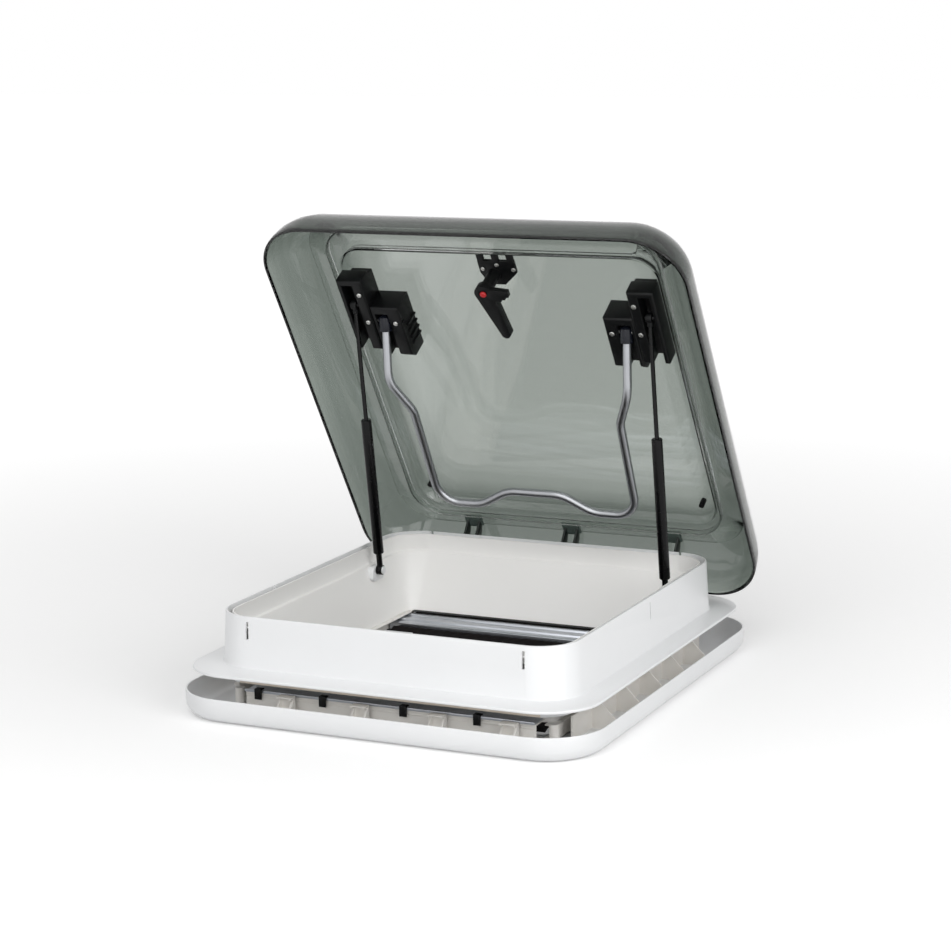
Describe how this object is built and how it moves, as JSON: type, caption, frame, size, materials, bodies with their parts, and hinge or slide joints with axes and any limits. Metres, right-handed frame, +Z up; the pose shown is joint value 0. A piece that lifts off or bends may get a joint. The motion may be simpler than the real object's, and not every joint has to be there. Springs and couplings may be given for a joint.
{
  "type": "caravan roof vent",
  "caption": "White caravan roof vent with its smoked double lid held open on gas struts, pull bow, turn latch and fly screen",
  "frame": {"origin": "centre of the ceiling tray's four corner screw holes, on the tray's room-side face", "axes": "+Z up through the roof, +X along the lid's hinge, +Y from the latch side to the hinge side"},
  "size_m": [0.6164, 0.6808, 0.6261],
  "materials": {
    "white_plastic": "smooth moulded white plastic",
    "black_plastic": "fine matt moulded black plastic",
    "black_rubber": "soft black lip",
    "clear_seal": "translucent grey seal",
    "smoked_acrylic": "clear acrylic with a smoke tint",
    "satin_aluminium": "satin anodised",
    "black_painted_steel": "gloss black paint and black rod",
    "zinc_steel": "bright zinc plate",
    "red_plastic": "smooth red plastic",
    "screen_mesh": "fine dark fly mesh, lightly folded",
    "blackout_fabric": "folded blackout cloth, grey on the room side"
  },
  "bodies": {
    "frame": {"upstand_frame": "white_plastic", "shaft_lining": "white_plastic", "ceiling_tray": "white_plastic", "hinge_bracket_left": "white_plastic", "hinge_bracket_mid": "white_plastic", "hinge_bracket_right": "white_plastic", "strut_foot_left": "white_plastic", "strut_foot_right": "white_plastic", "roof_clamps": "white_plastic", "latch_striker": "white_plastic", "front_cassette": "white_plastic", "rear_cassette": "white_plastic", "guide_rail_left": "black_plastic", "guide_rail_right": "black_plastic", "front_clips": "black_plastic", "rear_clips": "black_plastic", "front_rail": "satin_aluminium", "rear_rail": "satin_aluminium", "rear_lip_seal": "black_rubber", "hinge_pins": "zinc_steel", "foot_screws": "zinc_steel", "clamp_screws": "zinc_steel", "fly_screen": "screen_mesh", "blackout_blind": "blackout_fabric"},
    "lid": {"lid_dome": "smoked_acrylic", "lid_pane": "smoked_acrylic", "lid_seal": "clear_seal", "lid_hinge_left": "black_plastic", "lid_hinge_mid": "black_plastic", "lid_hinge_right": "black_plastic", "strut_block_left": "black_plastic", "strut_block_right": "black_plastic", "bow_block_left": "black_plastic", "bow_block_right": "black_plastic", "block_screws": "zinc_steel", "latch_base": "black_plastic", "latch_screws": "zinc_steel", "pane_pegs": "black_plastic"},
    "bow": {"bow_tube": "satin_aluminium", "bow_cap_left": "black_plastic", "bow_cap_right": "black_plastic", "bow_pins": "zinc_steel"},
    "lever": {"latch_lever": "black_plastic"},
    "release_button": {"latch_button": "red_plastic"},
    "screen_bar_slider": {"screen_bar": "satin_aluminium"},
    "blind_bar_slider": {"blind_bar": "satin_aluminium"},
    "strut_cylinder_left_body": {"strut_cylinder_left": "black_painted_steel"},
    "strut_rod_left_body": {"strut_rod_left": "black_painted_steel", "strut_end_left": "black_plastic"},
    "strut_cylinder_right_body": {"strut_cylinder_right": "black_painted_steel"},
    "strut_rod_right_body": {"strut_rod_right": "black_painted_steel", "strut_end_right": "black_plastic"}
  },
  "joints": [
    {"name": "lid_hinge", "type": "hinge", "parent": "frame", "child": "lid", "pos_m": [0, 0.311, 0.089], "axis": [1, 0, 0], "range_deg": [0, 57.5]},
    {"name": "bow_hinge", "type": "hinge", "parent": "lid", "child": "bow", "pos_m": [0, 0.10752, 0.46981], "axis": [1, 0, 0], "range_deg": [0, 15]},
    {"name": "lever_turn", "type": "hinge", "parent": "lid", "child": "lever", "pos_m": [-0.006, 0.06735, 0.52543], "axis": [0, -0.8434, -0.5373], "range_deg": [0, 90]},
    {"name": "button_press", "type": "slide", "parent": "lever", "child": "release_button", "axis": [0, 0.8434, 0.5373], "range_m": [0, 0.002], "stiffness_N_per_m": 400},
    {"name": "strut_turn_left", "type": "hinge", "parent": "frame", "child": "strut_cylinder_left_body", "pos_m": [-0.22, 0.15, 0.1], "axis": [1, 0, 0], "range_deg": [0, 77.6]},
    {"name": "strut_stroke_left", "type": "slide", "parent": "strut_cylinder_left_body", "child": "strut_rod_left_body", "axis": [0, -0.1431, 0.9897], "range_m": [-0.0996, 0]},
    {"name": "strut_turn_right", "type": "hinge", "parent": "frame", "child": "strut_cylinder_right_body", "pos_m": [0.22, 0.15, 0.1], "axis": [1, 0, 0], "range_deg": [0, 77.6]},
    {"name": "strut_stroke_right", "type": "slide", "parent": "strut_cylinder_right_body", "child": "strut_rod_right_body", "axis": [0, -0.1431, 0.9897], "range_m": [-0.0996, 0]},
    {"name": "screen_slide", "type": "slide", "parent": "frame", "child": "screen_bar_slider", "axis": [0, -1, 0], "range_m": [0, 0.4], "deforming": ["fly_screen"]},
    {"name": "blind_slide", "type": "slide", "parent": "frame", "child": "blind_bar_slider", "axis": [0, -1, 0], "range_m": [0, 0.4], "deforming": ["blackout_blind"]}
  ],
  "couplings": [
    {"joint": "blind_slide", "follows": "screen_slide", "ratio": 1},
    {"joint": "strut_turn_left", "follows": "lid_hinge", "ratio": 1.3482},
    {"joint": "strut_stroke_left", "follows": "lid_hinge", "m_per_rad": -0.09907},
    {"joint": "strut_turn_right", "follows": "lid_hinge", "ratio": 1.3482},
    {"joint": "strut_stroke_right", "follows": "lid_hinge", "m_per_rad": -0.09907}
  ]
}
